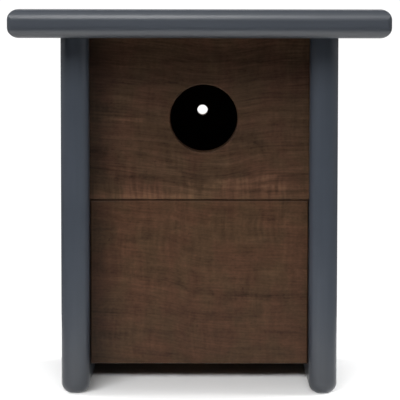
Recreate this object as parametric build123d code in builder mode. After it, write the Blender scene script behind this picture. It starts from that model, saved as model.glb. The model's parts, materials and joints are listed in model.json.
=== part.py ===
"""Nest box with a flat slab roof, two side boards that run down as feet, a fixed upper front with
the entrance hole, and a lower front that pivots on two screws so the box can be cleaned out.

+Z is up, the front faces -Y, +X is to the right. Millimetres. The origin is on the ground, under the
middle of the roof.
"""
import os
from math import radians, tan

from build123d import *

# Boards
board = 15.875             # thickness of every board, 5/8 in
roundover = 6.35           # routed radius on the painted boards' exposed edges, 1/4 in

# Box
inner_width = 124.0        # between the two side boards
side_depth = 139.7         # front to back, a 5 1/2 in board
side_height = 201.0        # ground to the underside of the roof
front_recess = 11.5        # front boards set back from the side boards' front edges

# Roof
roof_width = 210.8
front_overhang = 25.4      # past the side boards' front edges; flush at the back
roof_corner = 2.6          # radius on the four upright corners

# Front boards
door_bottom = 16.0         # clear height under the door
seam_height = 109.2        # middle of the joint between the two front boards, at their front faces
seam_gap = 0.65            # vertical gap of that joint
seam_slope = 20.0          # the joint rises towards the inside, so rain runs out of it, degrees
front_edge_ease = 0.8      # small radius around the door's front face
upper_edge_ease = 0.4      # small radius on the upper front's lower edge
hidden_edge_ease = 0.5     # small radius on the back board's and the floor's outside edges

# Entrance
entrance_radius = 19.05    # 1 1/2 in hole
entrance_x = 2.5           # it was bored a little to the right of the middle
entrance_height = 155.5
entrance_ease = 0.8        # radius on the hole's outer edge

# Hanging hole, opposite the entrance so that a driver reaches it
hang_radius = 3.175        # 1/4 in hole
hang_x = 1.9

# Floor
floor_bottom = 19.0        # a fingertip above the door's lower edge
floor_drain = 10.0         # corners cut off the floor, so that it drains
floor_gap = 0.5            # floor's front edge to the closed door

# Door
door_side_gap = 0.3        # at each end
pivot_below_seam = 28.0    # pivot axis under the seam
pivot_behind_face = 8.6    # a little behind the door's centre of mass, so the door hangs shut
pivot_play = 0.06          # radial clearance of the pin in the door

# Grooves across the inside of the front, which young birds climb
rung_width = 60.0
rung_height = 1.6
rung_depth = 1.6
rung_pitch = 6.0
rung_top = 131.0           # highest rung, just under the entrance
rung_count_upper = 3
rung_count_door = 8
door_rung_top = 101.0

# Countersunk wood screws: nominal diameter, head diameter, length, threaded length
head_angle = 82.0
head_sink = 0.3            # heads sit this far below the surface
thread_pitch = 1.4
thread_depth = 0.45
frame_screw = (3.5, 6.8, 31.0, 18.0)
strike_screw_size = (2.8, 5.4, 12.0, 8.4)

# Pivot screws: the thread holds in the side board, the plain pin turns in the door
pivot_thread = 4.2
pivot_head = 8.2
pivot_pin = 3.4
pivot_pin_length = 14.0    # past the side board's inner face
pivot_bore_spare = 1.5     # the door's bore is this much deeper

# Magnetic catch
magnet_diameter = 10.0
magnet_thickness = 5.0
strike_diameter = 14.0
strike_thickness = 1.5
strike_play = 0.05         # between the plate and its screw

# Places worked out from the dimensions above
roof_depth = front_overhang + side_depth
back_y = roof_depth / 2
side_front_y = back_y - side_depth
face_y = side_front_y + front_recess
inside_face_y = face_y + board
back_inner_y = back_y - board
outer_x = inner_width / 2 + board
side_middle_x = inner_width / 2 + board / 2
floor_front_y = inside_face_y + floor_gap
floor_depth = back_inner_y - floor_front_y
door_width = inner_width - 2 * door_side_gap
upper_bottom = seam_height + seam_gap / 2
door_top = seam_height - seam_gap / 2
seam_rise = board * tan(radians(seam_slope))
pivot_y = face_y + pivot_behind_face
pivot_z = seam_height - pivot_below_seam
strike_z = floor_bottom + board / 2
strike_back_y = inside_face_y

# Screw places: (y, z) on a side board, (x, y) on the roof
front_screw_spots = [(face_y + board / 2, 123.0), (face_y + board / 2, 187.0)]
back_screw_spots = [(back_y - board / 2, 52.0), (back_y - board / 2, 176.0)]
floor_screw_spots = [(-6.0, floor_bottom + board / 2), (44.0, floor_bottom + board / 2)]
roof_screw_rows = [-20.0, 50.0]

# Planes on the outside faces, each with its normal pointing out of the wood
left_face = Plane(origin=(-outer_x, 0, 0), x_dir=(0, 1, 0), z_dir=(-1, 0, 0))
right_face = Plane(origin=(outer_x, 0, 0), x_dir=(0, 1, 0), z_dir=(1, 0, 0))
roof_face = Plane.XY.offset(side_height + board)
strike_face = Plane(origin=(0, strike_back_y, strike_z), x_dir=(1, 0, 0), z_dir=(0, 1, 0))


def side_spots(face, spots):
    """Locations on a side board's outer face for (y, z) spots. Both faces' second axis is vertical,
    and it points down on the left one."""
    up = face.y_dir.Z
    return [face.location * Location((y, up * z, 0)) for y, z in spots]


def roof_spots(x):
    """Locations on the roof's top face, above one side board."""
    return [roof_face.location * Location((x, y, 0)) for y in roof_screw_rows]


def sunk(spots, sink):
    """The same locations, moved into the wood."""
    return [spot * Location((0, 0, -sink)) for spot in spots]


def screw_profile(size):
    """Half outline of a countersunk screw from its head's middle down to its tip: (radius, height)."""
    diameter, head, length, threaded = size
    radius = diameter / 2
    head_height = (head / 2 - radius) / tan(radians(head_angle / 2))
    tip_height = 1.5 * diameter
    points = [(0, 0), (head / 2, 0), (radius, -head_height), (radius, threaded - length)]
    turns = int((threaded - tip_height) / thread_pitch)
    for turn in range(turns):
        top = threaded - length - turn * thread_pitch
        points.append((radius - thread_depth, top - thread_pitch / 2))
        points.append((radius, top - thread_pitch))
    points.append((0, -length))
    return points


def wood_screw(size):
    """A screw that points down -Z, with its head's top face on the XY plane."""
    diameter = size[0]
    with BuildPart() as screw:
        with BuildSketch(Plane.XZ):
            with BuildLine():
                Polyline(*screw_profile(size), close=True)
            make_face()
        revolve(axis=Axis.Z)
        with BuildSketch(Plane.XY):
            Rectangle(diameter, diameter / 4)
            Rectangle(diameter / 4, diameter)
        extrude(amount=-0.35 * diameter, mode=Mode.SUBTRACT)
    return screw.part


def sink_radius(size):
    """Countersink radius at the wood's surface over a sunk head."""
    return size[1] / 2 + head_sink * tan(radians(head_angle / 2))


def countersunk(size):
    """A countersunk hole through one board, for a screw whose head is sunk."""
    CounterSinkHole(
        radius=size[0] / 2,
        counter_sink_radius=sink_radius(size),
        depth=board,
        counter_sink_angle=head_angle,
    )


def pilot(size, start=board):
    """The rest of a screw's hole, in the board under the one that its head is in."""
    Hole(radius=size[0] / 2, depth=size[2] + head_sink + 0.5 - start)


def climbing_grooves(top, count):
    """Level grooves across the inside of a front board."""
    with BuildSketch(Plane.XZ.offset(-inside_face_y)) as rungs:
        for row in range(count):
            with Locations((0, top - row * rung_pitch)):
                Rectangle(rung_width, rung_height)
    extrude(rungs.sketch, amount=rung_depth, mode=Mode.SUBTRACT)


# Roof: one slab, its long roundings meeting at the corners in a mitre that is eased by a smaller radius
with BuildPart() as roof:
    with BuildSketch(Plane.XZ):
        with Locations((0, side_height + board / 2)):
            RectangleRounded(roof_width, board, roundover)
    extrude(amount=roof_depth / 2, both=True)
    with BuildSketch(Plane.YZ) as side_outline:
        with Locations((0, side_height + board / 2)):
            RectangleRounded(roof_depth, board, roundover)
    extrude(side_outline.sketch, amount=roof_width / 2, both=True, mode=Mode.INTERSECT)
    with BuildSketch(roof_face) as top_outline:
        RectangleRounded(roof_width, roof_depth, roof_corner)
    extrude(top_outline.sketch, amount=-board, mode=Mode.INTERSECT)
    with Locations(*roof_spots(-side_middle_x), *roof_spots(side_middle_x)):
        countersunk(frame_screw)
roof.part.label = "roof"


def side_board(face, middle_x):
    """A side board that runs down to the ground as a foot, rounded on all but its top edges."""
    inner_spots = [roof_face.location * Location((middle_x, y, -board)) for y in roof_screw_rows]
    with BuildPart() as side:
        with BuildSketch(Plane.XY):
            with Locations((middle_x, side_front_y + side_depth / 2)):
                Rectangle(board, side_depth)
        extrude(amount=side_height)
        upright = side.edges().filter_by(Axis.Z)
        foot = side.faces().sort_by(Axis.Z)[0].edges()
        fillet(upright + foot, radius=roundover)
        with Locations(*side_spots(face, front_screw_spots + back_screw_spots + floor_screw_spots)):
            countersunk(frame_screw)
        with Locations(*side_spots(face, [(pivot_y, pivot_z)])):
            countersunk((pivot_thread, pivot_head))
        with Locations(*inner_spots):
            pilot(frame_screw)
    return side.part


left_side = side_board(left_face, -side_middle_x)
left_side.label = "left_side"
right_side = side_board(right_face, side_middle_x)
right_side.label = "right_side"


def inner_spots(face, spots):
    """The same spots as on a side board's outer face, on its inner face."""
    return sunk(side_spots(face, spots), board)


# Back board, between the side boards and down to the ground, with the hole that it hangs by
with BuildPart() as back_panel:
    with BuildSketch(Plane.XY):
        with Locations((0, back_y - board / 2)):
            Rectangle(inner_width, board)
    extrude(amount=side_height)
    fillet(back_panel.faces().sort_by(Axis.Y)[-1].edges(), radius=hidden_edge_ease)
    with BuildSketch(Plane.XZ.offset(-back_y)):
        with Locations((hang_x, entrance_height)):
            Circle(hang_radius)
    extrude(amount=board, mode=Mode.SUBTRACT)
    with Locations(*inner_spots(left_face, back_screw_spots), *inner_spots(right_face, back_screw_spots)):
        pilot(frame_screw)
back_panel.part.label = "back_panel"

# Floor, inside the box, with its corners cut off as drains and a pocket for the magnet
with BuildPart() as floor_panel:
    with BuildSketch(Plane.XY.offset(floor_bottom)):
        with Locations((0, floor_front_y + floor_depth / 2)):
            Rectangle(inner_width, floor_depth)
    extrude(amount=board)
    chamfer(floor_panel.edges().filter_by(Axis.Z), length=floor_drain)
    fillet(floor_panel.faces().sort_by(Axis.Z)[0].edges(), radius=hidden_edge_ease)
    with BuildSketch(Plane.XZ.offset(-floor_front_y)):
        with Locations((0, strike_z)):
            Circle(magnet_diameter / 2)
    extrude(amount=-magnet_thickness, mode=Mode.SUBTRACT)
    with Locations(*inner_spots(left_face, floor_screw_spots), *inner_spots(right_face, floor_screw_spots)):
        pilot(frame_screw)
floor_panel.part.label = "floor_panel"

# Upper front: fixed, with the entrance hole; its lower edge slopes up towards the inside
with BuildPart() as upper_front:
    with BuildSketch(Plane.YZ.offset(-inner_width / 2)):
        with BuildLine():
            Polyline(
                (face_y, upper_bottom),
                (face_y, side_height),
                (inside_face_y, side_height),
                (inside_face_y, upper_bottom + seam_rise),
                close=True,
            )
        make_face()
    extrude(amount=inner_width)
    lower_edge = upper_front.faces().sort_by(Axis.Y)[0].edges().sort_by(Axis.Z)[0]
    fillet(lower_edge, radius=upper_edge_ease)
    with BuildSketch(Plane.XZ.offset(-inside_face_y)):
        with Locations((entrance_x, entrance_height)):
            Circle(entrance_radius)
    extrude(amount=board, mode=Mode.SUBTRACT)
    rim = upper_front.edges().filter_by(GeomType.CIRCLE).sort_by(Edge.length)[-2:].sort_by(Axis.Y)[0]
    fillet(rim, radius=entrance_ease)
    climbing_grooves(rung_top, rung_count_upper)
    with Locations(*inner_spots(left_face, front_screw_spots), *inner_spots(right_face, front_screw_spots)):
        pilot(frame_screw)
upper_front.part.label = "upper_front"

# Lower front: the clean-out door, with a bore in each end for its pivot screw
bore_radius = pivot_pin / 2 + pivot_play
bore_depth = pivot_pin_length - door_side_gap + pivot_bore_spare
with BuildPart() as lower_front:
    with BuildSketch(Plane.YZ.offset(-door_width / 2)):
        with BuildLine():
            Polyline(
                (face_y, door_bottom),
                (face_y, door_top),
                (inside_face_y, door_top + seam_rise),
                (inside_face_y, door_bottom),
                close=True,
            )
        make_face()
    extrude(amount=door_width)
    fillet(lower_front.faces().sort_by(Axis.Y)[0].edges(), radius=front_edge_ease)
    climbing_grooves(door_rung_top, rung_count_door)
    pivot_gap = board + door_side_gap
    pivot_spots = [(pivot_y, pivot_z)]
    with Locations(
        *sunk(side_spots(left_face, pivot_spots), pivot_gap),
        *sunk(side_spots(right_face, pivot_spots), pivot_gap),
    ):
        Hole(radius=bore_radius, depth=bore_depth)
    with BuildSketch(strike_face):
        Circle(strike_diameter / 2)
    extrude(amount=-strike_thickness, mode=Mode.SUBTRACT)
    with Locations(strike_face.location):
        Hole(radius=strike_screw_size[0] / 2, depth=strike_screw_size[2] + 0.5)
lower_front.part.label = "lower_front"


def pivot_screw(face):
    """A screw with a plain pin end, its head sunk in one side board and its pin in the door."""
    radius = pivot_thread / 2
    head_height = (pivot_head / 2 - radius) / tan(radians(head_angle / 2))
    shoulder = board - head_sink
    tip = shoulder + pivot_pin_length
    pin = pivot_pin / 2
    with BuildPart() as screw:
        with BuildSketch(Plane.XZ):
            with BuildLine():
                Polyline(
                    (0, 0),
                    (pivot_head / 2, 0),
                    (radius, -head_height),
                    (radius, -shoulder),
                    (pin, -shoulder),
                    (pin, -tip),
                    (0, -tip),
                    close=True,
                )
            make_face()
        revolve(axis=Axis.Z)
        chamfer(screw.edges().sort_by(Axis.Z)[0], length=0.6)
        with BuildSketch(Plane.XY):
            Rectangle(pivot_thread, pivot_thread / 4)
            Rectangle(pivot_thread / 4, pivot_thread)
        extrude(amount=-0.35 * pivot_thread, mode=Mode.SUBTRACT)
    with BuildPart() as placed:
        with Locations(*sunk(side_spots(face, [(pivot_y, pivot_z)]), head_sink)):
            add(screw.part)
    return placed.part


left_pivot_screw = pivot_screw(left_face)
left_pivot_screw.label = "left_pivot_screw"
right_pivot_screw = pivot_screw(right_face)
right_pivot_screw.label = "right_pivot_screw"

# Frame screws, in groups: each holds one board to a side board
frame_screw_part = wood_screw(frame_screw)


def screw_group(label, spots):
    """Identical screws with their heads sunk at the given locations."""
    with BuildPart() as group:
        with Locations(*sunk(spots, head_sink)):
            add(frame_screw_part)
    group.part.label = label
    return group.part


screw_groups = [
    screw_group("left_roof_screws", roof_spots(-side_middle_x)),
    screw_group("right_roof_screws", roof_spots(side_middle_x)),
    screw_group("left_front_screws", side_spots(left_face, front_screw_spots)),
    screw_group("right_front_screws", side_spots(right_face, front_screw_spots)),
    screw_group("left_back_screws", side_spots(left_face, back_screw_spots)),
    screw_group("right_back_screws", side_spots(right_face, back_screw_spots)),
    screw_group("left_floor_screws", side_spots(left_face, floor_screw_spots)),
    screw_group("right_floor_screws", side_spots(right_face, floor_screw_spots)),
]

# Magnetic catch: a disc magnet in the floor's front edge, a steel strike plate on the door's back
with BuildPart() as catch_magnet:
    with BuildSketch(Plane.XZ.offset(-floor_front_y)):
        with Locations((0, strike_z)):
            Circle(magnet_diameter / 2)
    extrude(amount=-magnet_thickness)
catch_magnet.part.label = "catch_magnet"

with BuildPart() as strike_plate:
    with BuildSketch(strike_face):
        Circle(strike_diameter / 2)
    extrude(amount=-strike_thickness)
    with Locations(strike_face.location):
        CounterSinkHole(
            radius=strike_screw_size[0] / 2 + strike_play,
            counter_sink_radius=strike_screw_size[1] / 2 + strike_play,
            depth=strike_thickness,
            counter_sink_angle=head_angle,
        )
strike_plate.part.label = "strike_plate"

with BuildPart() as strike_screw:
    with Locations(strike_face.location):
        add(wood_screw(strike_screw_size))
strike_screw.part.label = "strike_screw"

parts = [
    roof.part,
    left_side,
    right_side,
    back_panel.part,
    floor_panel.part,
    upper_front.part,
    lower_front.part,
    left_pivot_screw,
    right_pivot_screw,
    *screw_groups,
    catch_magnet.part,
    strike_plate.part,
    strike_screw.part,
]

os.makedirs("parts", exist_ok=True)
for part in parts:
    export_step(part, f"parts/{part.label}.step")
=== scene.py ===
"""Looks for the nest box: painted boards, stained and figured front, screws, studio light, camera.

Metres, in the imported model's frame: +Z up, the front faces -Y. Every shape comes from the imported
model; this script gives each node its material and sets up the studio around it.
"""
import json
import math

import bpy
from mathutils import Matrix, Vector


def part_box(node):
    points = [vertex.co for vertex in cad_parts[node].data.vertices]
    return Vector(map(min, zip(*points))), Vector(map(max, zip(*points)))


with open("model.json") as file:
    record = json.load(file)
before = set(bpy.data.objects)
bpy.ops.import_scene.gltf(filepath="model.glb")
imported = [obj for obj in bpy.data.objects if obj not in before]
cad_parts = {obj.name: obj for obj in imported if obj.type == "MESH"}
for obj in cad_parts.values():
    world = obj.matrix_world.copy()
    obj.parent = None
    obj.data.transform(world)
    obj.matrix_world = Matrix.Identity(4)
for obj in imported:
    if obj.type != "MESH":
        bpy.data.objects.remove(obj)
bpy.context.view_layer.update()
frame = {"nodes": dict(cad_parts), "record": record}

MM = 0.001

# ---------------------------------------------------------------------------------------------
# Node helpers


class Shader:
    """A material's node tree. Each method adds a node and returns its output socket; where a method
    takes a value, that is a socket or a plain number, vector or colour."""

    def __init__(self, name):
        self.material = bpy.data.materials.new(name)
        self.material.use_nodes = True
        self.tree = self.material.node_tree
        self.principled = self.tree.nodes["Principled BSDF"]
        self.point = self.add("ShaderNodeTexCoord").outputs["Object"]

    def add(self, kind, **settings):
        node = self.tree.nodes.new(kind)
        for key, value in settings.items():
            setattr(node, key, value)
        return node

    def feed(self, socket, value):
        """Links a socket to another, or sets its value."""
        if isinstance(value, bpy.types.NodeSocket):
            self.tree.links.new(value, socket)
        else:
            socket.default_value = value

    def math(self, operation, a, b=0.0, c=0.0):
        node = self.add("ShaderNodeMath", operation=operation)
        for socket, value in zip(node.inputs, (a, b, c)):
            self.feed(socket, value)
        return node.outputs[0]

    def times(self, *factors):
        result = factors[0]
        for factor in factors[1:]:
            result = self.math("MULTIPLY", result, factor)
        return result

    def total(self, *terms):
        """Sum of (value, weight) pairs."""
        result = 0.0
        for value, weight in terms:
            result = self.math("MULTIPLY_ADD", value, weight, result)
        return result

    def centred(self, share):
        """Moves a value from 0 to 1 to the range -0.5 to 0.5."""
        return self.math("SUBTRACT", share, 0.5)

    def join(self, x, y, z):
        node = self.add("ShaderNodeCombineXYZ")
        for socket, value in zip(node.inputs, (x, y, z)):
            self.feed(socket, value)
        return node.outputs[0]

    def axes(self, unit):
        """The point's x, y and z, in multiples of a unit in metres."""
        node = self.add("ShaderNodeSeparateXYZ")
        self.feed(node.inputs[0], self.scaled((1 / unit,) * 3))
        return node.outputs

    def scaled(self, scale):
        """The point, multiplied by a factor along each axis."""
        node = self.add("ShaderNodeMapping")
        self.feed(node.inputs["Vector"], self.point)
        node.inputs["Scale"].default_value = scale
        return node.outputs[0]

    def noise(self, vector, detail, roughness=0.5):
        """Noise from 0 to 1, with one spot per unit of the vector."""
        node = self.add("ShaderNodeTexNoise")
        self.feed(node.inputs["Vector"], vector)
        node.inputs["Scale"].default_value = 1.0
        node.inputs["Detail"].default_value = detail
        node.inputs["Roughness"].default_value = roughness
        return node.outputs["Fac"]

    def remap(self, value, low, high, to_low=0.0, to_high=1.0, smooth=True):
        """Takes the range low to high to the range to_low to to_high, and holds the value outside it."""
        node = self.add("ShaderNodeMapRange")
        node.interpolation_type = "SMOOTHSTEP" if smooth else "LINEAR"
        self.feed(node.inputs["Value"], value)
        for key, number in zip(("From Min", "From Max", "To Min", "To Max"), (low, high, to_low, to_high)):
            node.inputs[key].default_value = number
        return node.outputs["Result"]

    def curve(self, x, points):
        """A smooth height over x, through the (x, height) points."""
        node = self.add("ShaderNodeFloatCurve")
        first, last = points[0][0], points[-1][0]
        low, high = min(height for _, height in points) - 1, max(height for _, height in points) + 1
        spots = [((at - first) / (last - first), (height - low) / (high - low)) for at, height in points]
        track = node.mapping.curves[0]
        track.points[0].location, track.points[1].location = spots[0], spots[-1]
        for spot in spots[1:-1]:
            track.points.new(*spot)
        node.mapping.update()
        self.feed(node.inputs["Value"], self.remap(x, first, last, smooth=False))
        return self.remap(node.outputs["Value"], 0, 1, low, high, smooth=False)

    def mix(self, share, a, b, blend="MIX", clamp=True):
        """Mixes two colours; with clamp off, a share outside 0 to 1 goes past them."""
        node = self.add("ShaderNodeMix", data_type="RGBA", blend_type=blend, clamp_factor=clamp)
        factor, color_a, color_b = node.inputs[0], node.inputs[6], node.inputs[7]
        self.feed(factor, share)
        self.feed(color_a, a)
        self.feed(color_b, b)
        return node.outputs[2]

    def tinted(self, color, red, green, blue):
        """A colour with its red, green and blue multiplied."""
        return self.mix(1.0, color, self.join(red, green, blue), "MULTIPLY")

    def bump(self, height, distance):
        node = self.add("ShaderNodeBump")
        self.feed(node.inputs["Height"], height)
        node.inputs["Distance"].default_value = distance
        return node.outputs[0]

    def finish(self, color, roughness, normal=None, **fixed):
        """Feeds the shader, sets its fixed sockets, such as Coat_Weight, and returns the material."""
        self.feed(self.principled.inputs["Base Color"], color)
        self.feed(self.principled.inputs["Roughness"], roughness)
        if normal is not None:
            self.feed(self.principled.inputs["Normal"], normal)
        for key, value in fixed.items():
            self.principled.inputs[key.replace("_", " ")].default_value = value
        return self.material


def rgb(r, g, b):
    return (r, g, b, 1.0)


# ---------------------------------------------------------------------------------------------
# Paint

PAINT_DARK = rgb(0.0430, 0.0525, 0.0695)
PAINT_LIGHT = rgb(0.0485, 0.0590, 0.0775)

# Millimetres
BRUSH_WIDTH = 2.6
BRUSH_LENGTH = 70.0
CLOUD_SIZE = 24.0
PEEL_SIZE = 2.2
PAINT_RELIEF = 0.014

# Painted light and shade in the paint's colour, over height: points (z in millimetres, brightness). On
# the side boards, painted shade near the ground and under the roof; on the roof, painted shade on its
# lower rounding and a painted highlight on its front face and upper rounding.
SIDE_PAINTED_SHADE = [(0, 0.38), (6, 0.50), (18, 0.63), (35, 0.79), (52, 0.93), (70, 1.0), (175, 1.0), (202, 0.72)]
ROOF_PAINTED_LIGHT_AND_SHADE = [(200, 0.52), (203, 0.60), (206, 0.88), (208, 1.0), (211, 1.02), (213.5, 1.12), (217, 1.12)]


def grey_paint(name, along, shade, roughness, specular):
    """Satin slate-grey paint, brushed on a smooth board along one axis ("x", "y" or "z"), under a thin
    clear coat. shade is one of the lists above, the painted light and shade over height, and roughness
    a range."""
    s = Shader(name)
    stretch = [1 / (BRUSH_WIDTH * MM)] * 3
    stretch["xyz".index(along)] = 1 / (BRUSH_LENGTH * MM)
    brushed = s.centred(s.noise(s.scaled(stretch), 2.0))
    cloud = s.centred(s.noise(s.scaled((1 / (CLOUD_SIZE * MM),) * 3), 2.0))
    peel = s.centred(s.noise(s.scaled((1 / (PEEL_SIZE * MM),) * 3), 1.0))
    color = s.mix(s.total((brushed, 1.8), (cloud, 1.2), (0.5, 1.0)), PAINT_DARK, PAINT_LIGHT)
    # Painted light and shade: the paint's colour is scaled by a brightness that follows height
    brightness = s.curve(s.axes(MM)[2], shade)
    color = s.tinted(color, brightness, brightness, brightness)
    rough = s.remap(s.total((cloud, 1.0), (brushed, 0.4)), -0.2, 0.2, *roughness)
    normal = s.bump(s.total((brushed, 1.0), (peel, 0.5)), PAINT_RELIEF * MM)
    return s.finish(color, rough, normal, Specular_IOR_Level=specular, Coat_Weight=0.6, Coat_Roughness=0.26)


# ---------------------------------------------------------------------------------------------
# Stained wood

WOOD_DARK = rgb(0.0305, 0.0141, 0.0069)
WOOD_LIGHT = rgb(0.0955, 0.0498, 0.0270)
BARE_WOOD = rgb(0.62, 0.44, 0.30)
GREENER = rgb(0.963, 1.034, 1.0)
REDDER = rgb(1.037, 0.968, 0.99)

# Millimetres
WOOD_RELIEF = 0.04
SWAY = 5.0                            # how far the grain sways off the flow
SLANT = 6.0                           # how far the ripples lean
JITTER = 1.8                          # how far the growth lines stray
LINE_FADE = 4.0                       # over which a line or streak fades out at its ends

FLOW_SHARE = 0.7                      # how closely the fine grain follows the flow
PIN_DEPTH = 0.25                      # how much darker the small knots are

# Painted shade towards the boards' left ends, next to the left side board: x where it is darkest, x
# where that ends, and the brightness at the first
LEFT_END_PAINTED_SHADE = (-62, -40, 0.42)

# The tone is 0 for dark wood and 1 for light wood, and is held between these
TONE_LIMITS = (-0.15, 1.9)

# Noise in the stain: spots per millimetre along x, y and z, then detail and roughness
SPOTS = {
    "wander": ((0.020, 1.0, 0.035), 2.0, 0.5),         # sways the grain
    "fleck": ((0.62, 0.62, 0.992), 1.0, 0.5),
    "mottle": ((0.17, 0.17, 0.17), 2.0, 0.5),
    "patch": ((0.045, 0.045, 0.045), 1.0, 0.5),        # where the ripple is strong, and its slant
    "ripple": ((0.50, 1.0, 0.055), 1.0, 0.5),
    "jitter": ((0.35, 1.0, 0.20), 3.0, 0.6),           # unsteadies the growth lines
    "breaks": ((0.16, 1.0, 1.0), 2.0, 0.5),            # thins them in places
    "pin": ((0.42, 0.21, 0.588), 0.0, 0.5),            # small dark knots
    "tint": ((0.075, 1.0, 0.055), 2.0, 0.5),           # greener and redder areas
}

# Noise along the grain: its length and width in millimetres, detail, roughness and shift
STRANDS = {
    "bands": (90.0, 6.5, 2.0, 0.5, 0.0),
    "fibre": (38.0, 2.0, 2.0, 0.6, 3.0),
    "hair": (15.0, 0.9, 1.0, 0.5, 7.0),
}


def figured_wood(name, flow, lines=(), streaks=(), ripple=(0.0, 1.0, 0.5, 0.5), shade=((0, 1), (220, 1)),
                 warmth=(1.0, 1.0, 1.0), fineness=1.0, bare_hole=None):
    """Brown stain on a maple board, grain along X. Lengths are in millimetres, except bare_hole's.

    flow      points (x, z) that the grain bends along
    lines     dark growth lines: points (x, z), half width, depth
    streaks   bright streaks: points (x, z), half width, strength
    ripple    ripple across the grain: two heights, and its strength at each
    shade     painted light and shade over height: points (z, brightness)
    warmth    factors on the stain's red, green and blue
    fineness  contrast of the fine fibres
    bare_hole place and radius, in metres, of a hole along Y with unstained wood inside
    """
    s = Shader(name)
    x, y, z = s.axes(MM)

    def spots(kind, x=x):
        (per_x, per_y, per_z), detail, roughness = SPOTS[kind]
        return s.noise(s.join(s.times(x, per_x), s.times(y, per_y), s.times(z, per_z)), detail, roughness)

    # Height across the grain, which bends with the flow and sways a little
    middle = sum(height for _, height in flow) / len(flow)
    lift = s.times(s.math("SUBTRACT", s.curve(x, flow), middle), FLOW_SHARE)
    across = s.math("SUBTRACT", z, s.math("MULTIPLY_ADD", spots("wander"), SWAY, lift))

    def strands(kind):
        length, width, detail, roughness, shift = STRANDS[kind]
        vector = s.join(s.math("MULTIPLY_ADD", x, 1 / length, shift), s.times(y, 1 / width),
                        s.times(across, 1 / width))
        return s.centred(s.noise(vector, detail, roughness))

    bands, fibre, hair = (strands(kind) for kind in STRANDS)

    # Ripples across the grain, upright and slightly slanted, stronger in some patches
    patch = spots("patch")
    slanted = s.math("MULTIPLY_ADD", s.centred(patch), SLANT, x)
    cross = s.times(s.centred(spots("ripple", slanted)), s.remap(z, *ripple),
                    s.remap(patch, 0.35, 0.65, 0.35, 1.35))
    tone = s.total((bands, 0.5), (fibre, 0.75 * fineness), (hair, 0.85 * fineness),
                   (s.centred(spots("mottle")), 0.5), (s.centred(spots("fleck")), 0.5),
                   (cross, 1.0), (0.5, 1.0))

    # Growth lines, each a dark core with a trail on its upper side, and streaks
    jittered = s.math("ADD", z, s.times(s.centred(spots("jitter")), JITTER))
    breaks = s.remap(spots("breaks"), 0.25, 0.6, 0.6, 1.15)

    def offset(points):
        """Height over a line, and a share that fades out at the line's ends."""
        first, last = points[0][0], points[-1][0]
        over = s.math("SUBTRACT", jittered, s.curve(x, points))
        ends = s.times(s.remap(x, first, first + LINE_FADE), s.remap(x, last - LINE_FADE, last, 1, 0))
        return over, ends

    for points, width, depth in lines:
        over, ends = offset(points)
        core = s.remap(s.math("ABSOLUTE", over), 0.0, 1.6 * width, 1, 0)
        trail = s.times(s.remap(over, -0.3, 5 * width, 1, 0), s.remap(over, -1.2, 0.3))
        mark = s.times(s.total((core, 0.6), (trail, 0.4)), ends, breaks)
        tone = s.math("MULTIPLY_ADD", mark, -depth, tone)
    for points, width, strength in streaks:
        over, ends = offset(points)
        core = s.remap(s.math("ABSOLUTE", over), 0.0, width, 1, 0)
        glint = s.times(core, ends, s.remap(cross, -0.1, 0.1, 0.6, 1.2))
        tone = s.math("MULTIPLY_ADD", glint, strength, tone)

    # Colour: tone, then areas of greener and redder stain, then the warmth, with painted light and shade
    # over height and painted shade towards the left end
    tone = s.math("MULTIPLY_ADD", s.remap(spots("pin"), 0.83, 0.89), -PIN_DEPTH, tone)
    least, most = TONE_LIMITS
    tone = s.math("MAXIMUM", s.math("MINIMUM", tone, most), least)
    color = s.mix(tone, WOOD_DARK, WOOD_LIGHT, clamp=False)
    redness = s.total((spots("tint"), 1.25), (bands, 0.2), (tone, 0.07), (-0.16, 1.0))
    color = s.mix(1.0, color, s.mix(s.remap(redness, 0.33, 0.67), GREENER, REDDER), "MULTIPLY")
    end, start, end_brightness = LEFT_END_PAINTED_SHADE
    # Painted light and shade over height, times painted shade towards the left end
    brightness = s.times(s.curve(z, shade), s.remap(x, end, start, end_brightness, 1.0))
    color = s.tinted(color, *(s.times(brightness, part) for part in warmth))
    if bare_hole is not None:
        (hole_x, _, hole_z), radius = bare_hole
        aside = s.math("POWER", s.math("SUBTRACT", x, hole_x / MM), 2.0)
        above = s.math("POWER", s.math("SUBTRACT", z, hole_z / MM), 2.0)
        from_axis = s.math("SQRT", s.math("ADD", aside, above))
        color = s.mix(s.remap(from_axis, radius / MM + 0.25, radius / MM + 0.35, 1, 0), color, BARE_WOOD)
    normal = s.bump(s.total((fibre, 1.0), (hair, 0.8), (cross, 0.6)), WOOD_RELIEF * MM)
    return s.finish(color, s.remap(fibre, -0.2, 0.2, 0.44, 0.56), normal, Specular_IOR_Level=0.15)


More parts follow.
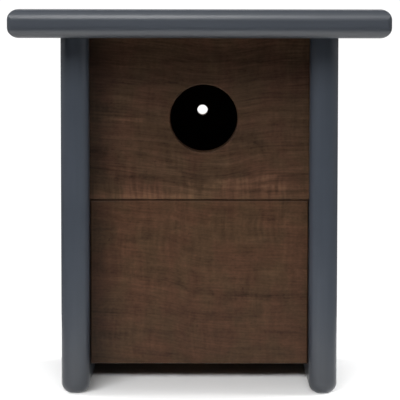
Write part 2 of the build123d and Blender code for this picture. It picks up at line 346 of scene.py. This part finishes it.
def upper_front_wood():
    """Straight fine grain above, swept round in a bowl near the lower edge, with a strong ripple there."""
    return figured_wood(
        "upper_front_wood",
        flow=[(-66, 126), (-35, 122.5), (-10, 118.5), (6, 116.5), (20, 118), (43, 122), (66, 122)],
        lines=[
            ([(-50, 121), (-36, 122.3), (-26, 121.5), (-10, 118.3), (6, 116), (24, 115.5)], 1.2, 0.26),
            ([(-20, 128.5), (-14, 127), (-6, 123.4), (6, 122.4), (20, 123.2), (32, 124.5)], 1.5, 0.24),
            ([(-4, 115.0), (10, 114.6), (40, 114.4), (66, 114.6)], 1.0, 0.30),
            ([(20, 143.5), (27, 143.4), (33, 140.5), (36.3, 136), (38.2, 128)], 2.0, 0.22),
            ([(-66, 137), (-57, 136), (-50, 134)], 1.2, 0.32),
            ([(-22, 187.8), (10, 187.6), (66, 186.8)], 1.1, 0.34),
            ([(-56, 175.6), (-35, 175.4), (-10, 175.8)], 1.0, 0.30),
        ],
        streaks=[
            ([(-10, 119.6), (-3, 118), (7, 116.9)], 1.6, 0.45),
            ([(7, 119.6), (18, 119.8), (32, 121.1), (46, 123.6)], 2.5, 0.78),
            ([(5, 116.4), (25, 116.8), (42, 116.9), (58, 114.9)], 2.2, 0.62),
            ([(-58, 154.4), (-46, 154.7), (-30, 154.2)], 2.0, 0.35),
            ([(-66, 111.3), (-20, 111.2), (-2, 110.8)], 2.4, 0.50),
            ([(-52, 184.6), (-30, 184.8), (-12, 184.5)], 1.6, 0.28),
            ([(-70, 113), (0, 112.5), (70, 114)], 9.0, 0.48),
        ],
        ripple=(112.0, 160.0, 0.52, 0.35),
        # Painted light and shade over height, brightest just under the roof
        shade=[(108, 1.04), (128, 1.02), (150, 0.89), (166, 0.84), (188, 0.88), (202, 1.25)])


def lower_front_wood():
    """Even grain with one long growth line that steps down by the middle, and a few fainter ones."""
    return figured_wood(
        "lower_front_wood",
        flow=[(-66, 69), (-38, 66), (-17, 62), (-4, 57), (8, 55), (22, 54), (66, 53)],
        lines=[
            ([(-66, 69), (-47, 68.1), (-31, 64), (-18, 62), (-9, 60.5), (-3.4, 56), (0.5, 57.6), (6, 57.2),
              (10, 53), (16, 52.5), (26, 55), (38, 53.8), (66, 53)], 2.2, 0.28),
            ([(-66, 32.6), (-47, 32.3), (-31, 33.8), (-2, 33.8), (10, 34.2), (24, 36), (31, 36), (38, 34.2),
              (66, 33.6)], 2.0, 0.18),
            ([(-66, 45), (-28, 44.5), (-10, 44), (12, 42.4), (36, 43.3)], 2.0, 0.20),
            ([(-66, 91.5), (-57, 92.3), (-45, 93)], 1.0, 0.28),
            ([(-48, 84.5), (-36, 87), (-24, 89)], 1.2, 0.22),
            ([(-27, 92.1), (-7, 93.8)], 1.3, 0.18),
            ([(20, 72), (40, 71.5), (66, 70)], 1.5, 0.15),
            ([(35, 98), (46, 98)], 0.8, 0.28),
            ([(-21, 21.5), (-9, 22)], 0.9, 0.24),
        ],
        ripple=(60.0, 100.0, 0.42, 0.62),
        # Painted light and shade over height, darker towards the bottom
        shade=[(15, 0.93), (35, 1.0), (60, 1.10), (110, 1.12)],
        warmth=(1.025, 1.0, 0.95),
        fineness=0.66)


def back_wood():
    """The back board: broad gentle arches, stained like the front, bare wood inside the hanging hole."""
    hole = next(mount for mount in frame["record"]["mounts"] if mount["name"] == "hang_hole")
    return figured_wood(
        "back_wood",
        flow=[(-66, 96), (-30, 104), (0, 107), (34, 103), (66, 95)],
        lines=[
            ([(-66, 60), (-20, 68), (18, 69), (66, 61)], 1.1, 0.30),
            ([(-66, 128), (-30, 138), (5, 141), (40, 136), (66, 128)], 1.2, 0.34),
            ([(-66, 165), (-24, 171), (20, 172), (66, 166)], 1.0, 0.25),
        ],
        ripple=(20.0, 180.0, 0.35, 0.35),
        bare_hole=(hole["pos_m"], hole["dims"]["r_mm"] * MM))


# ---------------------------------------------------------------------------------------------
# Metal

METAL_GRAIN = 0.4                     # millimetres
METAL_RELIEF = 0.01


def bright_metal(name, dull, bright, roughness):
    """A plain metal, finely turned, between two colours and two roughnesses."""
    s = Shader(name)
    fine = s.noise(s.scaled((1 / (METAL_GRAIN * MM),) * 3), 2.0)
    color = s.mix(s.remap(fine, 0.3, 0.7), dull, bright)
    normal = s.bump(fine, METAL_RELIEF * MM)
    return s.finish(color, s.remap(fine, 0.3, 0.7, *roughness), normal, Metallic=1.0)


# ---------------------------------------------------------------------------------------------
# Materials on the nodes


def dress(material, *nodes):
    for node in nodes:
        mesh = frame["nodes"][node].data
        mesh.materials.clear()
        mesh.materials.append(material)


roof_paint = grey_paint("roof_paint", "x", ROOF_PAINTED_LIGHT_AND_SHADE, roughness=(0.55, 0.61), specular=0.6)
side_paint = grey_paint("side_paint", "z", SIDE_PAINTED_SHADE, roughness=(0.43, 0.49), specular=0.35)
floor_wood = figured_wood("floor_wood", [(-66, 20), (0, 21), (66, 20)])
stainless_steel = bright_metal("stainless_steel", rgb(0.50, 0.49, 0.47), rgb(0.62, 0.61, 0.59), (0.28, 0.42))
nickel = bright_metal("nickel", rgb(0.60, 0.57, 0.51), rgb(0.72, 0.69, 0.63), (0.14, 0.22))
fasteners = [node for node in frame["nodes"] if node.endswith(("screw", "screws"))]

dress(roof_paint, "roof")
dress(side_paint, "left_side", "right_side")
dress(upper_front_wood(), "upper_front")
dress(lower_front_wood(), "lower_front")
dress(back_wood(), "back_panel")
dress(floor_wood, "floor_panel")
dress(stainless_steel, *fasteners, "strike_plate")
dress(nickel, "catch_magnet")

# ---------------------------------------------------------------------------------------------
# Studio. The box and the table have their own lamps: light that makes the table white would
# otherwise come back off it and light the boards from below.

TABLE_RADIUS = 0.30
TABLE_SIDES = 96
TABLE_GRAIN = 2.5                     # millimetres
TABLE_DARK = rgb(0.73, 0.73, 0.73)
TABLE_LIGHT = rgb(0.75, 0.75, 0.75)

# Radiance of the surroundings, as the camera sees them and as they light the scene
WORLD_SEEN = 1.05
WORLD_LIGHT = 0.07

# Each lamp: name, from and to azimuth, from and to elevation, radiance. Degrees; azimuth 0 is the
# front, positive to the right.
BOX_LIGHTS = [
    ("key", (-15, 3), (34, 58), 9.0),
    ("key_left", (-73, -40), (26, 46), 4.2),
    ("key_right", (3, 24), (34, 60), 2.2),
    ("right", (24, 75), (26, 48), 0.5),
    ("right_low", (45, 75), (1, 16), 0.4),
    ("side_left", (-110, -73), (2, 20), 0.5),
    ("side_right", (75, 110), (2, 20), 0.5),
    ("back_low", (115, 245), (4, 28), 0.4),
    ("back_high", (120, 240), (32, 65), 1.4),
    ("overhead", (-60, 60), (64, 90), 0.8),
]
TABLE_LIGHTS = [
    ("table_front", (-30, 8), (14.0, 17.0), 255.0),
    ("table_front_mid", (-60, 25), (18.6, 26), 1.5),
    ("table_front_high", (-60, 40), (26, 74), 0.3),
    ("table_left", (-125, -80), (18, 50), 6.6),
    ("table_right", (75, 130), (18, 50), 10.5),
    ("table_back", (130, 230), (15, 45), 1.8),
]


def floor():
    """A round pale table top, on the ground plane."""
    mesh = bpy.data.meshes.new("table")
    angles = [2 * math.pi * k / TABLE_SIDES for k in range(TABLE_SIDES)]
    ring = [(TABLE_RADIUS * math.cos(angle), TABLE_RADIUS * math.sin(angle), 0) for angle in angles]
    mesh.from_pydata(ring, [], [list(range(TABLE_SIDES))])
    table = bpy.data.objects.new("table", mesh)
    bpy.context.scene.collection.objects.link(table)
    s = Shader("table_white")
    grain = s.noise(s.scaled((1 / (TABLE_GRAIN * MM),) * 3), 2.0)
    color = s.mix(grain, TABLE_DARK, TABLE_LIGHT)
    mesh.materials.append(s.finish(color, 0.8, Specular_IOR_Level=0.1))
    return table


def group(name, *things):
    """A collection that a lamp can be kept to."""
    collection = bpy.data.collections.new(name)
    for thing in things:
        collection.objects.link(thing)
    return collection


def softbox(name, azimuths, elevations, radiance, lit):
    """A lamp that fills a patch of the sky round the object, one metre away, and lights one collection."""
    azimuth, elevation = (math.radians(sum(pair) / 2) for pair in (azimuths, elevations))
    way = Vector((math.sin(azimuth) * math.cos(elevation), -math.cos(azimuth) * math.cos(elevation),
                  math.sin(elevation)))
    lamp = bpy.data.lights.new(name, "AREA")
    lamp.shape = "RECTANGLE"
    lamp.size = math.cos(elevation) * math.radians(azimuths[1] - azimuths[0])
    lamp.size_y = math.radians(elevations[1] - elevations[0])
    lamp.energy = radiance * math.pi * lamp.size * lamp.size_y
    holder = bpy.data.objects.new(name, lamp)
    bpy.context.scene.collection.objects.link(holder)
    holder.location = way
    holder.rotation_mode = "QUATERNION"
    holder.rotation_quaternion = (-way).to_track_quat("-Z", "Y")
    holder.visible_camera = False
    holder.light_linking.receiver_collection = lit


def surroundings(seen, light):
    """White behind the object; a dimmer even light from all round."""
    world = bpy.data.worlds.new("studio")
    bpy.context.scene.world = world
    world.use_nodes = True
    nodes, links = world.node_tree.nodes, world.node_tree.links
    background = nodes["Background"]
    background.inputs["Color"].default_value = rgb(1.0, 1.0, 1.0)
    path = nodes.new("ShaderNodeLightPath")
    strength = nodes.new("ShaderNodeMapRange")
    strength.inputs["To Min"].default_value = light
    strength.inputs["To Max"].default_value = seen
    links.new(path.outputs["Is Camera Ray"], strength.inputs["Value"])
    links.new(strength.outputs["Result"], background.inputs["Strength"])


box_only = group("box_only", *frame["nodes"].values())
table_only = group("table_only", floor())
surroundings(WORLD_SEEN, WORLD_LIGHT)
for light in BOX_LIGHTS:
    softbox(*light, box_only)
for light in TABLE_LIGHTS:
    softbox(*light, table_only)

# ---------------------------------------------------------------------------------------------
# Camera: at the roof's height, a long lens, tipped down a little

CAMERA_DISTANCE = 1.2789              # in front of the side boards' front edges
CAMERA_HEIGHT = 0.2155
CAMERA_SIDE = 0.0004
CAMERA_PITCH = 4.702                  # degrees
CAMERA_ROLL = 0.066                   # degrees
CAMERA_LENS = 206.06                  # millimetres
SENSOR_WIDTH = 36.0                   # millimetres


def camera():
    data = bpy.data.cameras.new("camera")
    data.lens = CAMERA_LENS
    data.sensor_width = SENSOR_WIDTH
    data.clip_start = 0.05
    data.clip_end = 50.0
    holder = bpy.data.objects.new("camera", data)
    bpy.context.scene.collection.objects.link(holder)
    place = Vector((CAMERA_SIDE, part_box("left_side")[0].y - CAMERA_DISTANCE, CAMERA_HEIGHT))
    tip = Matrix.Rotation(math.radians(90.0 - CAMERA_PITCH), 4, "X")
    roll = Matrix.Rotation(math.radians(CAMERA_ROLL), 4, "Z")
    holder.matrix_world = Matrix.Translation(place) @ tip @ roll
    bpy.context.scene.camera = holder


camera()
bpy.context.scene.view_settings.view_transform = "Standard"

bpy.context.view_layer.update()
